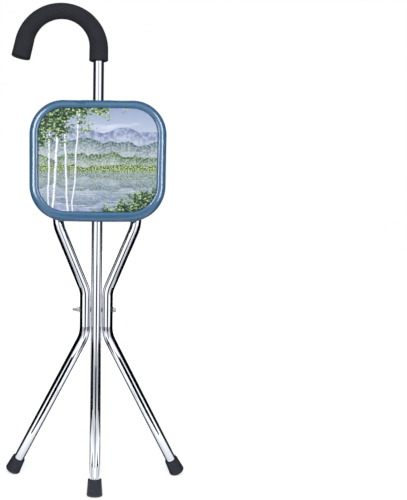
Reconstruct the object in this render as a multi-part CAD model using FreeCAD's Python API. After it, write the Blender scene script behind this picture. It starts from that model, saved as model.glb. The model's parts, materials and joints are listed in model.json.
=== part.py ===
import FreeCAD, Part
import math
import os

os.makedirs("parts", exist_ok=True)

Vec = FreeCAD.Vector

# Walking stick seat, closed for walking: a crook stick with a seat panel
# hung in front of it and two bent legs scissored on one bolt.
# It is built in the stick's own frame, with the pivot bolt at the origin,
# X along the bolt, Y to the rear and Z up the stick. At the end the whole
# is leant back and lifted so that its three feet stand on the floor.

# driving dimensions, in millimetres and degrees
tube_d = 19.0
tube_wall = 1.0
lean = 5.0
stick_drop = 331.0          # pivot to the stick's sole, along the stick
crook_rise = 462.4          # pivot to the centre of the crook's arc
crook_radius = 66.4
crook_turn = 167.0
crook_tail = 33.0
reach = 181.5               # pivot to seat hinge, and seat hinge to collar
seat_open = 53.4            # how far the legs scissor when the seat is level
leg_top_x = 69.0
bend_under_seat = 5.5       # the legs start to lean in just below the seat
waist_top_z = 33.0
waist_low_z = -44.0
splay_out = 26.8
splay_back = 24.4
waist_bend_r = 45.0
shoulder_bend_r = 60.0
bolt_d = 5.0
pivot_tip = 11.9            # bolt end beyond the washer
pivot_flats = 8.0
hinge_bolt_d = 6.0
hinge_tip = 7.0
hinge_flats = 10.0
spacer_t = 0.8
spacer_r = 3.8
washer_t = 1.0

seat_over_collar = 4.2      # top edge, above the collar's hinge
seat_under_hinge = 26.2     # low edge, below the legs' hinge
seat_top_half = 120.0
seat_low_half = 118.0
seat_back = 22.0            # underside, forward of the stick's axis
seat_deep = 19.0
top_corner_r = 60.0
low_corner_r = 63.0
rim_round = 11.0
rim_side = 15.6
rim_inner_round = 4.2
recess_rise = 1.2           # the recess sits a little above the middle
panel_t = 2.4
recess_deep = 6.0
skin = 3.0
rib_t = 2.2
rib_short = 1.0             # ribs stop this far short of the rim
rib_cols = 7
rib_rows = 6
rib_edge = 24.0             # first and last row, in from the seat's edge
screw_apart = 6.0           # bracket screws, each side of the leg
plate_t = 2.5

sole_r = 14.2
sole_edge = 1.2
foot_top_r = 12.25
foot_h = 30.0
sole_t = 5.0
foot_washer_t = 1.5

grip_end_r = 17.2
grip_crown_r = 14.3
grip_cap = 6.0
grip_arm = 21.9             # how far the grip runs down the stick

# clearances
fit = 0.05                  # running fit, on the radius
free = 0.3                  # parts that pass one another
leg_x = tube_d / 2 + spacer_t + tube_d / 2
tube_r = tube_d / 2
tube_inner_r = tube_r - tube_wall
tube_end_up = sole_t + foot_washer_t
seat_face = seat_back + seat_deep
collar_z = 2 * reach
seat_top = collar_z + seat_over_collar
seat_low = reach - seat_under_hinge
seat_mid = (seat_top + seat_low) / 2
upper_bend_z = seat_low - bend_under_seat

X = Vec(1, 0, 0)
Y = Vec(0, 1, 0)
Z = Vec(0, 0, 1)


def cyl(r, start, way, length):
    return Part.makeCylinder(r, length, start, way)


def ring(r_out, r_in, start, way, length):
    return cyl(r_out, start, way, length).cut(cyl(r_in, start, way, length))


def hexagon(flats, start, way, length):
    """Six-sided bar across flats, from start along way."""
    pts = []
    for i in range(7):
        a = math.radians(60 * i + 30)
        c = flats / 2 / math.cos(math.radians(30))
        pts.append(Vec(c * math.cos(a), c * math.sin(a), 0))
    bar = Part.Face(Part.makePolygon(pts)).extrude(Vec(0, 0, length))
    turn = FreeCAD.Rotation(Z, way)
    bar.Placement = FreeCAD.Placement(start, turn)
    return bar


def revolved(points, start, way):
    """Turn a closed (radius, height) outline about the local Z axis."""
    pts = [Vec(r, 0, h) for r, h in points]
    pts.append(pts[0])
    solid = Part.Face(Part.makePolygon(pts)).revolve(Vec(0, 0, 0), Z, 360)
    solid.Placement = FreeCAD.Placement(start, FreeCAD.Rotation(Z, way))
    return solid


def mirrored(shape):
    return shape.mirror(Vec(0, 0, 0), X)


def bent_path(points, radii):
    """Centreline through the points, with a true arc at each inner one."""
    edges = []
    start = points[0]
    for i in range(1, len(points) - 1):
        a = (points[i - 1] - points[i]).normalize()
        b = (points[i + 1] - points[i]).normalize()
        half = a.getAngle(b) / 2
        back = radii[i - 1] / math.tan(half)
        p = points[i] + a * back
        q = points[i] + b * back
        mid_way = (a + b).normalize()
        hub = points[i] + mid_way * (radii[i - 1] / math.sin(half))
        m = hub - mid_way * radii[i - 1]
        edges.append(Part.makeLine(start, p))
        edges.append(Part.Arc(p, m, q).toShape())
        start = q
    edges.append(Part.makeLine(start, points[-1]))
    return Part.Wire(edges)


def swept(path, r):
    start = path.Edges[0].valueAt(path.Edges[0].FirstParameter)
    way = path.Edges[0].tangentAt(path.Edges[0].FirstParameter)
    circle = Part.Wire(Part.makeCircle(r, start, way))
    return path.makePipeShell([circle], True, False)


def tube(path, r_out, r_in):
    return swept(path, r_out).cut(swept(path, r_in))


# where things are


def crook_point(turn, off=0.0):
    a = math.radians(turn)
    r = crook_radius + off
    return Vec(r * math.cos(a) - crook_radius, 0, crook_rise + r * math.sin(a))


crook_way = Vec(-math.sin(math.radians(crook_turn)), 0, math.cos(math.radians(crook_turn)))
crook_tip = crook_point(crook_turn) + crook_way * crook_tail
stick_way = Vec(0, 0, -1)
stick_sole = stick_way * stick_drop
leg_way = Vec(math.tan(math.radians(splay_out)), math.tan(math.radians(splay_back)), -1)
leg_way.normalize()
tilt = FreeCAD.Rotation(X, -lean)


def sole_reach(way, axis):
    """How far a rounded sole goes along way, beyond its own centre."""
    c = axis.dot(way)
    disc = (sole_r - sole_edge) * math.sqrt(max(0.0, 1 - c * c))
    return disc + sole_edge - sole_edge * c


def lift_and_leg():
    """Pivot height, and leg length below the waist, for feet on the floor."""
    down = Vec(0, 0, -1)
    lift = (tilt.multVec(stick_sole)).dot(down) + sole_reach(down, tilt.multVec(stick_way))
    knee = tilt.multVec(Vec(leg_x, 0, waist_low_z)).dot(down)
    axis = tilt.multVec(leg_way)
    return lift, (lift - knee - sole_reach(down, axis)) / axis.dot(down)


lift, leg_drop = lift_and_leg()
leg_sole = Vec(leg_x, 0, waist_low_z) + leg_way * leg_drop
front = (tilt.multVec(stick_sole)).dot(Y) - sole_reach(Y * -1, tilt.multVec(stick_way))
rear = (tilt.multVec(leg_sole)).dot(Y) + sole_reach(Y, tilt.multVec(leg_way))
stand = FreeCAD.Placement(Vec(0, -(front + rear) / 2, lift), tilt)
nodes = {}


def store(name, *shapes):
    nodes[name] = list(shapes)


# the stick, its crook and its grip


def stick_path(r_add=0.0):
    low = stick_sole - stick_way * tube_end_up
    edges = [Part.makeLine(low, crook_point(0))]
    arc = Part.Arc(crook_point(0), crook_point(crook_turn / 2), crook_point(crook_turn))
    edges.append(arc.toShape())
    end = crook_tip - crook_way * grip_cap
    edges.append(Part.makeLine(crook_point(crook_turn), end))
    return Part.Wire(edges)


def main_tube():
    body = tube(stick_path(), tube_r, tube_inner_r)
    body = body.cut(cyl(bolt_d / 2 + fit, Vec(-15, 0, 0), X, 30))
    return body.cut(cyl(1.5 + fit, Vec(0, -15, ring_top - 4.5), Y, 30))


def grip_stations():
    """Centre, direction and radius along the grip, fat at both ends."""
    low = crook_rise - grip_arm
    out = [(Vec(0, 0, low), Z, grip_end_r)]
    out.append((Vec(0, 0, low + 11), Z, grip_end_r - 0.15))
    for i in range(0, 9):
        turn = crook_turn * i / 8
        a = math.radians(turn)
        swell = abs(i - 4) / 4.0
        r = grip_crown_r + (grip_end_r - 0.5 - grip_crown_r) * swell ** 1.6
        out.append((crook_point(turn), Vec(-math.sin(a), 0, math.cos(a)), r))
    mid = crook_point(crook_turn) + crook_way * (crook_tail * 0.5)
    out.append((mid, crook_way, grip_end_r - 0.15))
    out.append((crook_tip, crook_way, grip_end_r))
    return out


def handle_grip():
    hoops = [Part.Wire(Part.makeCircle(r, c, w)) for c, w, r in grip_stations()]
    body = Part.makeLoft(hoops, True, False)
    ends = [e for e in body.Edges if abs(e.Length - math.pi * grip_end_r) < 0.2]
    body = body.makeFillet(1.8, ends)
    return body.cut(swept(stick_path(), tube_r + fit))


# legs and feet


def leg_points():
    end = leg_sole - leg_way * tube_end_up
    top = Vec(leg_top_x, 0, reach + tube_r)
    return [top, Vec(leg_top_x, 0, upper_bend_z), Vec(leg_x, 0, waist_top_z),
            Vec(leg_x, 0, waist_low_z), end]


def leg_tube():
    radii = [shoulder_bend_r, waist_bend_r, waist_bend_r]
    body = tube(bent_path(leg_points(), radii), tube_r, tube_inner_r)
    body = body.cut(cyl(bolt_d / 2 + fit, Vec(leg_x - 12, 0, 0), X, 24))
    hole = cyl(hinge_bolt_d / 2 + fit, Vec(leg_top_x - 12, 0, reach), X, 24)
    return body.cut(hole)


def leg_plug():
    """Domed cap with a stub pushed into the top of the tube."""
    r = tube_inner_r - fit
    pts = [(0, -8), (r - 0.6, -8), (r, -7.4), (r, 0), (tube_r, 0), (tube_r, 0.9), (tube_r - 0.5, 1.7),
           (tube_r - 2, 2.4), (tube_r - 5, 2.8), (0, 3.0)]
    plug = revolved(pts, Vec(leg_top_x, 0, reach + tube_r), Z)
    return plug.cut(cyl(hinge_bolt_d / 2 + free, Vec(leg_top_x - 12, 0, reach), X, 24))


def foot(sole, axis):
    """Rubber ferrule: a flared cup with tread rings, sole at the origin."""
    e = sole_edge
    k = e * (1 - math.sqrt(0.5))
    bore_r = tube_r + fit
    pts = [(0, 0), (4.5, 0), (5.0, 1.2), (6.2, 1.2), (6.7, 0), (9.0, 0), (9.5, 1.2), (10.7, 1.2), (11.2, 0),
           (sole_r - e, 0), (sole_r - e * 0.617, e * 0.076), (sole_r - k, k), (sole_r - e * 0.076, e * 0.617),
           (sole_r, e), (sole_r, 3.2), (sole_r - 0.25, 4.6), (foot_top_r, foot_h - 1.3),
           (foot_top_r - 0.35, foot_h - 0.4), (foot_top_r - 1.1, foot_h),
           (bore_r + 0.7, foot_h), (bore_r, foot_h - 0.8), (bore_r, sole_t), (0, sole_t)]
    return revolved(pts, sole, axis * -1)


def foot_washer(sole, axis):
    base = sole - axis * sole_t
    return ring(tube_r - 0.2, 3.0, base, axis * -1, foot_washer_t)


# the bolt that the scissor turns on


def bolt(d, x0, x1, head_flats, head_h, at):
    """Bolt along X from its tip at x0 to under the head at x1."""
    tip = 0.6
    pts = [(0, 0), (d / 2 - tip, 0), (d / 2, tip), (d / 2, x1 - x0), (0, x1 - x0)]
    shank = revolved(pts, Vec(x0, 0, at), X)
    head = hexagon(head_flats, Vec(x1, 0, at), X, head_h)
    crown = revolved([(0, 0), (head_flats / 2 * 1.15, 0), (head_flats / 2 * 1.15, head_h - 0.7),
                      (head_flats / 2 * 0.98, head_h), (0, head_h)], Vec(x1, 0, at), X)
    return shank.fuse(head.common(crown))


def nut(d, x0, height, flats, at):
    """Locking nut along X: hexagon with a round collar, bored for the bolt."""
    body = hexagon(flats, Vec(x0, 0, at), X, height * 0.72)
    lid = cyl(flats / 2 * 0.93, Vec(x0 - height * 0.28, 0, at), X, height * 0.28)
    return body.fuse(lid).cut(cyl(d / 2 + fit, Vec(x0 - height, 0, at), X, 3 * height))


def pivot_set():
    edge = leg_x + tube_r
    start = -edge - washer_t
    store("pivot_bolt", bolt(bolt_d, start - pivot_tip, edge + washer_t, pivot_flats, bolt_d, 0))
    store("pivot_nut", nut(bolt_d, start - bolt_d * 0.72, bolt_d, pivot_flats, 0))
    outer = ring(bolt_d, bolt_d / 2 + fit, Vec(edge, 0, 0), X, washer_t)
    store("pivot_washers", outer, mirrored(outer))
    inner = ring(spacer_r, bolt_d / 2 + fit, Vec(tube_r, 0, 0), X, spacer_t)
    store("pivot_spacers", inner, mirrored(inner))


# the seat, drawn flat with its face up and then stood up: (x, up, forward)


def stood(shape):
    shape.rotate(Vec(0, 0, 0), X, 90)
    return shape


def seat_block(inset, low, high, rise=0.0):
    """Bowed, rounded block of the seat's outline, inset all round."""
    t = seat_top_half - inset
    b = seat_low_half - inset
    top = seat_top - inset + rise
    base = seat_low + inset + rise
    tl = Vec(-t, top - 1.0, low)
    tr = Vec(t, top - 1.0, low)
    bl = Vec(-b, base + 2.2, low)
    br = Vec(b, base + 2.2, low)
    edges = [Part.Arc(bl, Vec(0, base, low), br).toShape(), Part.makeLine(br, tr),
             Part.Arc(tr, Vec(0, top, low), tl).toShape(), Part.makeLine(tl, bl)]
    block = Part.Face(Part.Wire(edges)).extrude(Vec(0, 0, high - low))
    upright = [e for e in block.Edges if abs(e.BoundBox.ZLength - (high - low)) < 1e-6]
    above = [e for e in upright if e.CenterOfMass.y > seat_mid]
    block = block.makeFillet(top_corner_r - inset, above)
    below = [e for e in block.Edges if abs(e.BoundBox.ZLength - (high - low)) < 1e-6
             and e.CenterOfMass.y < base + 10 and e.BoundBox.XLength < 1e-6]
    return block.makeFillet(low_corner_r - inset, below)


def rib_lattice(low, high):
    """Crossed ribs; the upright ones run through the legs' screw bosses."""
    bars = []
    tall = seat_top - seat_low + 10
    wide = 2 * seat_top_half + 10
    pitch_x = (leg_top_x - screw_apart) / 2
    pitch_y = (seat_top - seat_low - 2 * rib_edge) / (rib_rows - 1)
    for i in range(rib_cols):
        x = (i - (rib_cols - 1) / 2) * pitch_x
        bars.append(Part.makeBox(rib_t, tall, high - low, Vec(x - rib_t / 2, seat_low - 5, low)))
    for i in range(rib_rows):
        y = seat_low + rib_edge + i * pitch_y
        bars.append(Part.makeBox(wide, rib_t, high - low, Vec(-wide / 2, y - rib_t / 2, low)))
    return bars[0].multiFuse(bars[1:])


def leg_screw_spots():
    return [(leg_top_x - screw_apart, reach + 26), (leg_top_x + screw_apart, reach + 26), (leg_top_x, reach)]


def all_screw_spots():
    spots = leg_screw_spots()
    spots += [(-x, y) for x, y in leg_screw_spots()]
    return spots + collar_screw_spots()


def collar_screw_spots():
    return [(-9, collar_z - 33), (9, collar_z - 33), (0, collar_z - 14)]


def seat_frame():
    """Moulded tray: rounded rim, recess for the panel, hollow ribbed back."""
    back = seat_back
    face = seat_face
    floor = face - recess_deep
    body = seat_block(0, back, face)
    outer = [e for e in body.Edges if e.BoundBox.ZMin > face - 1e-4]
    body = body.makeFillet(rim_round, outer)
    body = body.cut(seat_block(rim_side, floor, face + 1, recess_rise))
    inner = [e for e in body.Edges if e.BoundBox.ZMin > face - 1e-4 and e.BoundBox.ZMax < face + 1e-4
             and in_recess(e)]
    body = body.makeFillet(rim_inner_round, inner)
    pocket = seat_block(skin + 0.2, back - 1, floor - skin)
    body = body.cut(pocket)
    groove = seat_block(rim_round / 2, floor - skin - 1, face - 4.4)
    groove = groove.cut(seat_block(rim_side - skin, floor - skin - 2, face, recess_rise))
    body = body.cut(groove)
    ribs = rib_lattice(back + rib_short, floor - skin + 0.5).common(seat_block(skin, back, floor))
    bosses = [cyl(4.6, Vec(x, y, back), Z, floor - skin - back + 0.5) for x, y in all_screw_spots()]
    body = body.fuse([ribs] + bosses)
    for x, y in all_screw_spots():
        body = body.cut(cyl(1.95 + fit, Vec(x, y, back - 1), Z, 10.0))
    return stood(body.removeSplitter()).cut(open_stick())


def in_recess(edge):
    """True for an edge of the recess mouth, which is inside the rim."""
    p = edge.valueAt((edge.FirstParameter + edge.LastParameter) / 2)
    side = seat_low_half - rim_side + 1.5
    return abs(p.x) < side + 1.2 and seat_low + rim_side - 3 < p.y < seat_top - rim_side + 3


def open_stick():
    """The stick as the open seat sees it, with room round it."""
    a = math.radians(seat_open)
    hub = Vec(0, 0, collar_z)
    way = Vec(0, -math.sin(a), math.cos(a))
    return cyl(tube_r + 1.3, hub - way * 40, way, 110)


def seat_panel():
    floor = seat_face - recess_deep
    body = seat_block(rim_side + free, floor, floor + panel_t, recess_rise)
    top = [e for e in body.Edges if e.BoundBox.ZMin > floor + panel_t - 1e-4]
    return stood(body.makeChamfer(0.4, top))


# brackets under the seat, in the same flat drawing frame


def ear(x0, y_hub, r, y_low, y_high):
    """Cheek of a bracket: from the plate down to a round nose at the hinge."""
    top = seat_back
    pts = [Vec(x0, y_low, top), Vec(x0, y_high, top), Vec(x0, y_high, top - plate_t)]
    side_hi = Vec(x0, y_hub + r, 0)
    side_lo = Vec(x0, y_hub - r, 0)
    edges = [Part.makeLine(pts[0], pts[1]), Part.makeLine(pts[1], pts[2]), Part.makeLine(pts[2], side_hi),
             Part.Arc(side_hi, Vec(x0, y_hub, -r), side_lo).toShape(),
             Part.makeLine(side_lo, Vec(x0, y_low, top - plate_t)),
             Part.makeLine(Vec(x0, y_low, top - plate_t), pts[0])]
    return Part.Face(Part.Wire(edges)).extrude(Vec(plate_t, 0, 0))


def bracket(x_mid, half_gap, y_hub, r, y_low, y_high, ear_low, ear_high, hub_r, spots):
    """Pressed channel: base plate and two ears, drilled for screws and hinge."""
    wide = half_gap + plate_t
    plate = Part.makeBox(2 * wide, y_high - y_low, plate_t, Vec(x_mid - wide, y_low, seat_back - plate_t))
    corners = [e for e in plate.Edges if e.BoundBox.ZLength > plate_t - 1e-6]
    plate = plate.makeFillet(3.0, corners)
    left = ear(x_mid - wide, y_hub, r, ear_low, ear_high)
    right = ear(x_mid + half_gap, y_hub, r, ear_low, ear_high)
    body = plate.fuse([left, right]).removeSplitter()
    body = body.cut(cyl(hub_r + fit, Vec(x_mid - 30, y_hub, 0), X, 60))
    for x, y in spots:
        body = body.cut(cyl(2.15, Vec(x, y, seat_back - plate_t - 1), Z, plate_t + 2))
    return body


def screw(x, y):
    """Pan head with a cross slot, its shank up into a boss of the tray."""
    head = seat_back - plate_t
    pts = [(0, -2.2), (2.4, -2.2), (3.3, -1.5), (3.7, -0.6), (3.7, 0),
           (1.95, 0), (1.95, 10.6), (1.0, 11.3), (0, 11.3)]
    body = revolved(pts, Vec(x, y, head), Z)
    for turn in (0, 90):
        slot = Part.makeBox(3.6, 0.8, 1.2, Vec(-1.8, -0.4, -2.3))
        slot.rotate(Vec(0, 0, 0), Z, turn)
        slot.translate(Vec(x, y, head))
        body = body.cut(slot)
    return body


def leg_bracket():
    half_gap = tube_r + free
    return bracket(leg_top_x, half_gap, reach, 8.0, reach - 12, reach + 33, reach - 10, reach + 21,
                   hinge_bolt_d / 2, leg_screw_spots())


def bracket_set():
    right = stood(leg_bracket())
    store("right_leg_bracket", right)
    store("left_leg_bracket", mirrored(right))
    screws = [stood(screw(x, y)) for x, y in leg_screw_spots()]
    store("leg_bracket_screws", *(screws + [mirrored(s) for s in screws]))
    store("collar_bracket", stood(bracket(0, collar_ear_in, collar_z, 7.0, collar_z - 42, collar_z - 3,
                                          collar_z - 30, collar_z - 4, 2.5, collar_screw_spots())))
    store("collar_bracket_screws", *[stood(screw(x, y)) for x, y in collar_screw_spots()])


def hinge_set():
    edge = leg_top_x + tube_r + free + plate_t
    inner = leg_top_x - tube_r - free - plate_t
    right = bolt(hinge_bolt_d, inner - hinge_tip, edge, hinge_flats, 4.0, reach)
    lock = nut(hinge_bolt_d, inner - hinge_bolt_d * 0.72, hinge_bolt_d, hinge_flats, reach)
    store("right_hinge_bolt", right)
    store("right_hinge_nut", lock)
    store("left_hinge_bolt", mirrored(right))
    store("left_hinge_nut", mirrored(lock))


# the collar that slides on the stick

collar_r = 13.0
collar_up = 5.0
collar_down = 17.0
collar_boss = 15.0
collar_ear_in = collar_boss + free
collar_pin_r = 2.5
ring_top = collar_z * math.cos(math.radians(seat_open)) - collar_down - free
ring_h = 9.0


def slide_collar():
    """Moulded sleeve with a lip below and a round boss at each side."""
    r_in = tube_r + fit + 0.03
    low = Vec(0, 0, collar_z - collar_down)
    h = collar_up + collar_down
    pts = [(r_in + 0.8, 0), (collar_r + 0.4, 0), (collar_r + 1.0, 0.6), (collar_r + 1.0, 3.0),
           (collar_r, 4.0), (collar_r, h - 0.8), (collar_r - 0.8, h), (r_in + 0.8, h),
           (r_in, h - 0.8), (r_in, 0.8)]
    body = revolved(pts, low, Z)
    side = cyl(4.9, Vec(-collar_boss, 0, collar_z), X, 2 * collar_boss)
    body = body.fuse(side).cut(cyl(r_in, low - Z, Z, h + 2))
    body = body.cut(cyl(collar_pin_r + 0.02, Vec(-20, 0, collar_z), X, 40))
    return body.removeSplitter()


def collar_pin():
    """Headed pin pressed into one side of the collar through an ear."""
    start = tube_r + 0.4
    out = collar_ear_in + plate_t + free - start
    pts = [(0, 0), (collar_pin_r - 0.4, 0), (collar_pin_r, 0.4), (collar_pin_r, out), (4.5, out),
           (4.5, out + 0.8), (3.9, out + 1.6), (0, out + 1.8)]
    return revolved(pts, Vec(start, 0, collar_z), X)


def stop_ring():
    body = revolved([(tube_r + fit, 0), (tube_r + 2.4, 0), (tube_r + 3.0, 0.6), (tube_r + 3.0, ring_h - 0.6),
                     (tube_r + 2.4, ring_h), (tube_r + fit, ring_h)], Vec(0, 0, ring_top - ring_h), Z)
    return body.cut(cyl(1.5 + fit, Vec(0, -15, ring_top - 4.5), Y, 30))


def stop_rivet():
    half = tube_r + 3.0
    pts = [(0, -1.2), (1.6, -1.1), (2.7, -0.2), (2.7, 0), (1.5, 0), (1.5, 2 * half), (2.7, 2 * half),
           (2.7, 2 * half + 0.2), (1.6, 2 * half + 1.1), (0, 2 * half + 1.2)]
    return revolved(pts, Vec(0, -half, ring_top - 4.5), Y)


# everything, named


def build():
    store("main_tube", main_tube())
    store("handle_grip", handle_grip())
    store("centre_foot", foot(stick_sole, stick_way))
    store("centre_foot_washer", foot_washer(stick_sole, stick_way))
    store("stop_ring", stop_ring())
    store("stop_rivet", stop_rivet())
    pivot_set()
    right = {"leg_tube": leg_tube(), "leg_plug": leg_plug(), "foot": foot(leg_sole, leg_way),
             "foot_washer": foot_washer(leg_sole, leg_way)}
    for name, shape in right.items():
        store("right_" + name, shape)
        store("left_" + name, mirrored(shape))
    store("seat_frame", seat_frame())
    store("seat_panel", seat_panel())
    bracket_set()
    hinge_set()
    pin = collar_pin()
    store("slide_collar", slide_collar())
    store("collar_pins", pin, mirrored(pin))


def export():
    for name, shapes in nodes.items():
        placed = []
        for shape in shapes:
            solids = shape.Solids
            for solid in solids:
                moved = solid.copy()
                moved.transformShape(stand.toMatrix(), True)
                placed.append(moved)
        whole = placed[0] if len(placed) == 1 else Part.makeCompound(placed)
        whole.exportStep("parts/" + name + ".step")


build()
export()
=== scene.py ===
import json
import math
from functools import partial

import bmesh
import bpy
from mathutils import Matrix, Vector, noise


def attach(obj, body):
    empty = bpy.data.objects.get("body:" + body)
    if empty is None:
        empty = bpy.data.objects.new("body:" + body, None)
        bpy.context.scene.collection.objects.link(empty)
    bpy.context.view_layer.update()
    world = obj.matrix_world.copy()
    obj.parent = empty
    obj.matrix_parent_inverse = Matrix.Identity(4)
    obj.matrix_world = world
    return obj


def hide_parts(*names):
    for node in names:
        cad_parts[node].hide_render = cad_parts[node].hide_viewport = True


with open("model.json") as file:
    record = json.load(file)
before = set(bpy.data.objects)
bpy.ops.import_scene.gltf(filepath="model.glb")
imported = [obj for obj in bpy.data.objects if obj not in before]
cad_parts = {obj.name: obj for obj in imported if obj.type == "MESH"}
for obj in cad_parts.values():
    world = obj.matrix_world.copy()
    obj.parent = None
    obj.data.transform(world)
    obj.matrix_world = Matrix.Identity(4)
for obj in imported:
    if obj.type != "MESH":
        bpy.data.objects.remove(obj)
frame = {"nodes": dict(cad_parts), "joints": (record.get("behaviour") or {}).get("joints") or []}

# A walking stick seat, closed for walking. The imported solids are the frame; this
# script gives them their finishes, a foam grip, a floor, light and a camera.

nodes = frame["nodes"]
scene = bpy.context.scene
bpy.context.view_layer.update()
print("frame loaded:", len(nodes), "nodes")


def jointPlace(name):
    return next(Vector(joint["pos_m"]) for joint in frame["joints"] if joint["name"] == name)


pivotPlace = jointPlace("leg_scissor")
stickUp = (jointPlace("collar_pivot") - pivotPlace).normalized()
stickRear = Vector((0, stickUp.z, -stickUp.y))


def onStick(x, y, z):  # a point given in the stick's own frame, millimetres from the pivot bolt
    return pivotPlace + (Vector((1, 0, 0)) * x + stickRear * y + stickUp * z) / 1000


# camera, fitted to the outline of the photographed stick
view = {
    "distance": 1.700,      # metres in front of the stick
    "height": 0.5957,
    "pitchDown": 5.43,      # degrees
    "rollRight": 0.55,
    "pictureWide": 407,
    "pictureHigh": 500,
    "focalPixels": 948.7,   # in a picture of that size
    "centreColumn": 96.87,  # where the stick's plane stands in it
    "sensor": 36,
    "farthest": 50,
}


def addCamera():
    pitch = math.radians(view["pitchDown"])
    roll = math.radians(view["rollRight"])
    ahead = Vector((0, math.cos(pitch), -math.sin(pitch)))
    flatRight = Vector((1, 0, 0))
    flatUp = flatRight.cross(ahead)
    right = flatRight * math.cos(roll) + flatUp * math.sin(roll)
    up = flatUp * math.cos(roll) - flatRight * math.sin(roll)
    data = bpy.data.cameras.new("studioCamera")
    data.sensor_width = view["sensor"]
    data.lens = view["focalPixels"] / view["pictureHigh"] * view["sensor"]
    data.shift_x = (view["pictureWide"] / 2 - view["centreColumn"]) / view["pictureHigh"]
    data.clip_end = view["farthest"]
    camera = bpy.data.objects.new("studioCamera", data)
    turn = Matrix((right, up, -ahead)).transposed().to_4x4()
    camera.matrix_world = Matrix.Translation((0, -view["distance"], view["height"])) @ turn
    scene.collection.objects.link(camera)
    scene.camera = camera


addCamera()
scene.view_settings.view_transform = "Standard"


# material helpers

def linear(hexValue):  # sRGB hex to the linear colour that shaders take
    parts = [int(hexValue[i:i + 2], 16) / 255 for i in (1, 3, 5)]
    return tuple(c / 12.92 if c <= 0.04045 else ((c + 0.055) / 1.055) ** 2.4 for c in parts) + (1.0,)


def perMetre(millimetres):  # a pattern's scale from the real size of one feature
    return 1000 / millimetres


def addNode(tree, kind, inputs=None, **settings):  # one node with its settings and its links
    node = tree.nodes.new(kind)
    for name, value in settings.items():
        setattr(node, name, value)
    for key, value in (inputs or {}).items():
        if isinstance(value, bpy.types.NodeSocket):
            tree.links.new(value, node.inputs[key])
        else:
            node.inputs[key].default_value = value
    return node


def newMaterial(name):
    material = bpy.data.materials.new(name)
    material.use_nodes = True
    material.node_tree.nodes.clear()
    return material, material.node_tree


def finish(names, material):
    for name in names:
        data = nodes[name].data
        if not data.materials:
            data.materials.append(material)
        for i in range(len(data.materials)):
            data.materials[i] = material


# bright tube: welded steel tube, drawn, polished and chromed. Mirror bands run along it, a
# little wavy where the mandrel and the buffing wheel left their marks.
chromedTube = {
    "face": "#e3e5e8",
    "cloud": "#d2d6df",       # faint blue bloom of the plating
    "cloudSize": 60,          # mm
    "smearSize": 24,
    "polished": 0.022,        # roughness where it is clean
    "handled": 0.06,          # and where it has been held
    "buffWidth": 1.1,         # buffing lines, real ones 0.1 mm, drawn wider so that they show
    "buffLength": 70,
    "buffDepth": 0.0005,      # mm
    "waveSize": 13,
    "waveDepth": 0.0035,
}


def makeChromedTube(name, spec, runAlong):
    material, tree = newMaterial(name)
    place = addNode(tree, "ShaderNodeTexCoord").outputs["Object"]
    clouds = addNode(tree, "ShaderNodeTexNoise", {"Vector": place, "Scale": perMetre(spec["cloudSize"]), "Detail": 3.0})
    smears = addNode(tree, "ShaderNodeTexNoise", {"Vector": place, "Scale": perMetre(spec["smearSize"]), "Detail": 6.0,
                                                  "Roughness": 0.62})
    colour = addNode(tree, "ShaderNodeMix", {0: clouds.outputs["Fac"], 6: linear(spec["face"]),
                                             7: linear(spec["cloud"])}, data_type="RGBA")
    gloss = addNode(tree, "ShaderNodeMapRange", {"Value": smears.outputs["Fac"], "From Min": 0.45, "From Max": 0.72,
                                                 "To Min": spec["polished"], "To Max": spec["handled"]})
    along = Vector((0, 0, 1)).rotation_difference(runAlong.normalized()).inverted().to_euler()
    turned = addNode(tree, "ShaderNodeMapping", {"Vector": place, "Rotation": along})
    stretched = addNode(tree, "ShaderNodeMapping", {"Vector": turned.outputs[0], "Scale": (
        perMetre(spec["buffWidth"]), perMetre(spec["buffWidth"]), perMetre(spec["buffLength"]))})
    buffing = addNode(tree, "ShaderNodeTexNoise", {"Vector": stretched.outputs[0], "Scale": 1.0, "Detail": 3.0})
    rolled = addNode(tree, "ShaderNodeMapping", {"Vector": turned.outputs[0], "Scale": (
        perMetre(spec["waveSize"]), perMetre(spec["waveSize"]), perMetre(spec["waveSize"] * 6))})
    waves = addNode(tree, "ShaderNodeTexNoise", {"Vector": rolled.outputs[0], "Scale": 1.0, "Detail": 1.0})
    fine = addNode(tree, "ShaderNodeBump", {"Height": buffing.outputs["Fac"], "Strength": 1.0,
                                            "Distance": spec["buffDepth"] / 1000})
    broad = addNode(tree, "ShaderNodeBump", {"Height": waves.outputs["Fac"], "Strength": 1.0,
                                             "Distance": spec["waveDepth"] / 1000, "Normal": fine.outputs[0]})
    shader = addNode(tree, "ShaderNodeBsdfPrincipled", {
        "Base Color": colour.outputs[2], "Metallic": 1.0, "Roughness": gloss.outputs[0], "Normal": broad.outputs[0]})
    addNode(tree, "ShaderNodeOutputMaterial", {"Surface": shader.outputs[0]})
    return material


# zinc: pressed and turned steel, barrel plated. Softer and greyer than the tubes, with a
# faint blue and straw tint and tumbling marks.
platedZinc = {
    "blue": "#aeb6c0",
    "straw": "#bdb9ab",
    "tintSize": 9,
    "grainSize": 0.9,
    "grainDepth": 0.006,
    "bright": 0.24,
    "dull": 0.42,
}


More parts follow.
